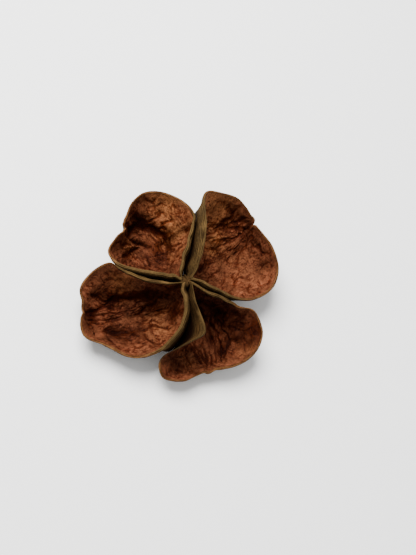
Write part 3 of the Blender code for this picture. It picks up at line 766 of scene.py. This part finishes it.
def closed_globe(name, places, notes):
    """Roll a grid of rings and rays into a closed form, with a row of notes for each point."""
    rings, rays = places.shape[:2]
    work = bmesh.new()
    bmesh.ops.create_grid(work, x_segments=rays, y_segments=rings - 1, size=1.0)
    layers = [work.verts.layers.float.new(note) for note in NOTES]
    for vertex in work.verts:
        ray = round((vertex.co.x + 1) / 2 * rays) % rays
        ring = round((vertex.co.y + 1) / 2 * (rings - 1))
        if ring in (0, rings - 1):
            ray = 0
        vertex.co = places[ring, ray] * MM
        for layer, note in zip(layers, notes):
            vertex[layer] = note[ring, ray]
    bmesh.ops.remove_doubles(work, verts=work.verts, dist=1e-8)
    bmesh.ops.recalc_face_normals(work, faces=work.faces)
    return new_piece(work, name)


def make_shell(name, facts, shift):
    """Make one shell with its wrinkles."""
    places, notes = Shell(facts, RAYS).grid()
    places = places + shift
    places[..., 2] = np.maximum(places[..., 2], 0)
    return closed_globe("shell_" + name, places, notes)


def make_knot(shift):
    """Make the pillar with the knot on top and the end of the stalk below."""
    levels = [(KNOT_TOP, 0.0), (KNOT_TOP, 0.5 * KNOT_RADIUS), (KNOT_TOP - 1.0, 0.9 * KNOT_RADIUS),
              (KNOT_TOP - 3.0, 0.9 * KNOT_RADIUS), (RECEPTACLE_HEIGHT + 9.0, 0.75 * KNOT_RADIUS),
              (RECEPTACLE_HEIGHT + 3.0, 0.65 * RECEPTACLE_RADIUS), (RECEPTACLE_HEIGHT, RECEPTACLE_RADIUS),
              (RECEPTACLE_HEIGHT - 2.0, 0.8 * RECEPTACLE_RADIUS), (STALK_END + 1.5, STALK_RADIUS),
              (STALK_END, 0.85 * STALK_RADIUS), (STALK_END, 0.0)]
    corners = np.array(levels)
    steps = np.linspace(0, len(levels) - 1, KNOT_RINGS)
    height, radius = np.array([spline_point(corners, step) for step in steps]).T[..., None]
    around = np.linspace(0, 2 * math.pi, KNOT_RAYS, endpoint=False) + 0 * height
    radius = radius * (1 + KNOT_WAVE * (np.sin(4 * around) + 0.5 * np.sin(7 * around + height)))
    circle = np.stack((np.cos(around), np.sin(around)), axis=-1)
    upward = (0 * around + height)[..., None]
    pattern = np.concatenate((KNOT_GRAIN * circle, upward / KNOT_GRAIN_LENGTH), axis=-1)
    grain = bumps_at(pattern, 1.0, 14)
    radius = radius + KNOT_GRAIN_HEIGHT * grain * np.minimum(1, radius)
    places = np.concatenate((KNOT_PLACE + radius[..., None] * circle, upward), axis=-1)
    # Painted shade between the grain, and painted shade with some stain: half over the whole pillar and full
    # low down under the shells.
    notes = (np.ones(around.shape), np.clip(0.4 - grain, 0, 1), np.full(around.shape, 0.7),
             0.5 + 0.5 * smooth_step((KNOT_TOP - 1 - height) / 6) + 0 * around)
    return closed_globe("knot_and_stalk", places + shift, notes)


def add_node(tree, kind, settings=None, links=None, stops=()):
    """Add a node, with its settings, the stops of its ramp and links from other nodes' outputs."""
    node = tree.nodes.new(kind)
    for name, value in (settings or {}).items():
        if isinstance(name, int) or name in node.inputs:
            node.inputs[name].default_value = value
        else:
            setattr(node, name, value)
    for index, (place, colour) in enumerate(stops):
        mark = node.color_ramp.elements[index] if index < 2 else node.color_ramp.elements.new(place)
        mark.position = place
        mark.color = linear(colour)
    for name, source in (links or {}).items():
        tree.links.new(source, node.inputs[name])
    return node


def pod_skin():
    """Dried pod: a leathery red-brown skin inside the shells, with only a faint sheen, painted shade
    in its furrows and hollows and lighter patches that are partly painted light, and dull
    olive-brown fibres on the edges and outside."""
    material = bpy.data.materials.new("dried_pod_skin_and_fibre")
    material.use_nodes = True
    tree = material.node_tree
    shader = tree.nodes["Principled BSDF"]
    shader.inputs["Specular IOR Level"].default_value = 0.09
    shader.inputs["Specular Tint"].default_value = linear("#d8b49c")
    place = add_node(tree, "ShaderNodeTexCoord").outputs["Object"]
    woody, furrow, warm, deep = [
        add_node(tree, "ShaderNodeAttribute", {"attribute_name": note}).outputs["Fac"] for note in NOTES]

    # Skin: cloudy red-brown with blotches about 8 mm across.
    blotches = add_node(tree, "ShaderNodeTexNoise", {"Scale": 1 / 0.008, "Detail": 5.0, "Roughness": 0.62},
                        {"Vector": place}).outputs["Fac"]
    cool_skin = add_node(tree, "ShaderNodeValToRGB", links={"Fac": blotches},
                         stops=[(0.28, "#482616"), (0.74, "#7c4830"), (0.50, "#623824")]).outputs["Color"]
    warm_skin = add_node(tree, "ShaderNodeValToRGB", links={"Fac": blotches},
                         stops=[(0.28, "#704426"), (0.74, "#9e6a42"), (0.50, "#885634")]).outputs["Color"]
    # Lighter, more orange skin round the warm places: partly its own tone, partly painted light.
    skin = add_node(tree, "ShaderNodeMix", {"data_type": "RGBA"},
                    {0: warm, 6: cool_skin, 7: warm_skin}).outputs[2]

    # Hairline wrinkles a couple of millimetres apart with painted shade in them, specks, and painted
    # shade in the furrows.
    net = add_node(tree, "ShaderNodeTexNoise",
                   {"Scale": 1 / 0.0020, "Detail": 2.0, "Roughness": 0.5, "Distortion": 1.2},
                   {"Vector": place}).outputs["Fac"]
    beside = add_node(tree, "ShaderNodeMath", {"operation": "SUBTRACT", 1: 0.5}, {0: net}).outputs["Value"]
    near = add_node(tree, "ShaderNodeMath", {"operation": "ABSOLUTE"}, {0: beside}).outputs["Value"]
    hairlines = add_node(tree, "ShaderNodeValToRGB", links={"Fac": near},
                         stops=[(0.0, "#8a6c5e"), (0.035, "#ffffff")]).outputs["Color"]
    skin = add_node(tree, "ShaderNodeMix", {"data_type": "RGBA", "blend_type": "MULTIPLY", 0: 1.0},
                    {6: skin, 7: hairlines}).outputs[2]
    mottle = add_node(tree, "ShaderNodeTexNoise", {"Scale": 1 / 0.0016, "Detail": 5.0, "Roughness": 0.7},
                      {"Vector": place}).outputs["Fac"]
    specks = add_node(tree, "ShaderNodeValToRGB", links={"Fac": mottle},
                      stops=[(0.36, "#bcaea6"), (0.56, "#ffffff")]).outputs["Color"]
    skin = add_node(tree, "ShaderNodeMix", {"data_type": "RGBA", "blend_type": "MULTIPLY", 0: 0.8},
                    {6: skin, 7: specks}).outputs[2]
    shade = add_node(tree, "ShaderNodeValToRGB", links={"Fac": furrow},
                     stops=[(0.08, "#ffffff"), (1.0, "#7a5040"), (0.50, "#b09080")]).outputs["Color"]
    skin = add_node(tree, "ShaderNodeMix", {"data_type": "RGBA", "blend_type": "MULTIPLY", 0: 1.0},
                    {6: skin, 7: shade}).outputs[2]

    # Fibres: olive-brown at the edges and dark brown further down outside, in patches about
    # 5 mm across, and darker between the fibres with painted shade.
    patches = add_node(tree, "ShaderNodeTexNoise", {"Scale": 1 / 0.005, "Detail": 6.0, "Roughness": 0.65},
                       {"Vector": place}).outputs["Fac"]
    edge_fibre = add_node(tree, "ShaderNodeValToRGB", links={"Fac": patches},
                          stops=[(0.26, "#382a18"), (0.78, "#624a2a"), (0.52, "#4c3a20")]).outputs["Color"]
    low_fibre = add_node(tree, "ShaderNodeValToRGB", links={"Fac": patches},
                         stops=[(0.26, "#22170c"), (0.78, "#42301c"), (0.52, "#302214")]).outputs["Color"]
    fibre = add_node(tree, "ShaderNodeMix", {"data_type": "RGBA"},
                     {0: warm, 6: low_fibre, 7: edge_fibre}).outputs[2]
    gaps = add_node(tree, "ShaderNodeValToRGB", links={"Fac": furrow},
                    stops=[(0.15, "#ffffff"), (0.9, "#4c3a2a")]).outputs["Color"]
    fibre = add_node(tree, "ShaderNodeMix", {"data_type": "RGBA", "blend_type": "MULTIPLY", 0: 1.0},
                     {6: fibre, 7: gaps}).outputs[2]

    # Painted shade with some real stain: dark patches in the hollows, in the pockets between the
    # shells and low on the pillar.
    colour = add_node(tree, "ShaderNodeMix", {"data_type": "RGBA"}, {0: woody, 6: skin, 7: fibre}).outputs[2]
    shade_and_stain = add_node(tree, "ShaderNodeMix", {"data_type": "RGBA", 6: linear("#ffffff"), 7: linear("#8c6a56")},
                     {0: deep}).outputs[2]
    colour = add_node(tree, "ShaderNodeMix", {"data_type": "RGBA", "blend_type": "MULTIPLY", 0: 1.0},
                      {6: colour, 7: shade_and_stain}).outputs[2]
    tree.links.new(colour, shader.inputs["Base Color"])
    rough = add_node(tree, "ShaderNodeMapRange", {"To Min": 0.62, "To Max": 0.85}, {"Value": woody})
    tree.links.new(rough.outputs["Result"], shader.inputs["Roughness"])
    dips = add_node(tree, "ShaderNodeMapRange", {"From Max": 0.05}, {"Value": near}).outputs["Result"]
    both = add_node(tree, "ShaderNodeMath", {"operation": "ADD"}, {0: mottle, 1: dips}).outputs["Value"]
    bump = add_node(tree, "ShaderNodeBump", {"Strength": 0.5, "Distance": 0.0004}, {"Height": both})
    tree.links.new(bump.outputs["Normal"], shader.inputs["Normal"])
    return material


def floor_and_light():
    """Plain pale floor, soft sky and one broad soft light from the upper left of the picture."""
    work = bmesh.new()
    bmesh.ops.create_grid(work, x_segments=1, y_segments=1, size=FLOOR_SIZE)
    floor = new_piece(work, "floor")
    material = bpy.data.materials.new("matt_white_card")
    material.use_nodes = True
    shader = material.node_tree.nodes["Principled BSDF"]
    shader.inputs["Base Color"].default_value = linear("#fbfbfa")
    shader.inputs["Roughness"].default_value = 0.9
    floor.data.materials.append(material)

    world = bpy.data.worlds.new("soft_room")
    world.use_nodes = True
    sky = world.node_tree.nodes["Background"]
    sky.inputs["Color"].default_value = (1, 1, 1, 1)
    sky.inputs["Strength"].default_value = SKY_STRENGTH
    bpy.context.scene.world = world

    lamp = bpy.data.lights.new("window", "AREA")
    lamp.shape = "DISK"
    lamp.size = WINDOW_SIZE
    lamp.energy = WINDOW_POWER
    window = bpy.data.objects.new("window", lamp)
    bpy.context.scene.collection.objects.link(window)
    window.location = Vector(WINDOW_PLACE)
    window.rotation_euler = (-Vector(WINDOW_PLACE)).to_track_quat("-Z", "Y").to_euler()


def photo_camera(shift):
    """Camera at the photograph's slant, turned the least that brings it there."""
    slant = math.sin(CAMERA_SLANT)
    side = Vector((-slant * math.cos(CAMERA_SIDE), -slant * math.sin(CAMERA_SIDE), math.cos(CAMERA_SLANT)))
    aim = (Vector(AIM) + Vector(shift)) * MM
    camera_data = bpy.data.cameras.new("photo_camera")
    camera_data.sensor_fit = "VERTICAL"
    camera_data.sensor_height = SENSOR
    camera_data.sensor_width = SENSOR
    camera_data.lens = SENSOR * CAMERA_DISTANCE / (PHOTO_HEIGHT * TABLE_MM_PER_PIXEL)
    camera = bpy.data.objects.new("photo_camera", camera_data)
    bpy.context.scene.collection.objects.link(camera)
    camera.location = aim + side * CAMERA_DISTANCE * MM
    camera.rotation_mode = "QUATERNION"
    camera.rotation_quaternion = Vector((0, 0, 1)).rotation_difference(side)
    bpy.context.scene.camera = camera


def main():
    """Build the shells and the knot over the part's node, then the floor, light and camera."""
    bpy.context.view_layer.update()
    edges = np.concatenate([Shell(facts, PART_RAYS).edge for facts in SHELLS.values()])
    own = (edges.min(axis=0) + edges.max(axis=0)) / 2
    shift = np.mean(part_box("pod"), axis=0) / MM - own
    shift[2] = 0
    skin = pod_skin()
    pieces = [make_shell(name, facts, shift) for name, facts in SHELLS.items()]
    pieces.append(make_knot(shift))
    for piece in pieces:
        piece.data.materials.append(skin)
        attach(piece, "root")
        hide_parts("pod")
    floor_and_light()
    photo_camera(shift)


main()
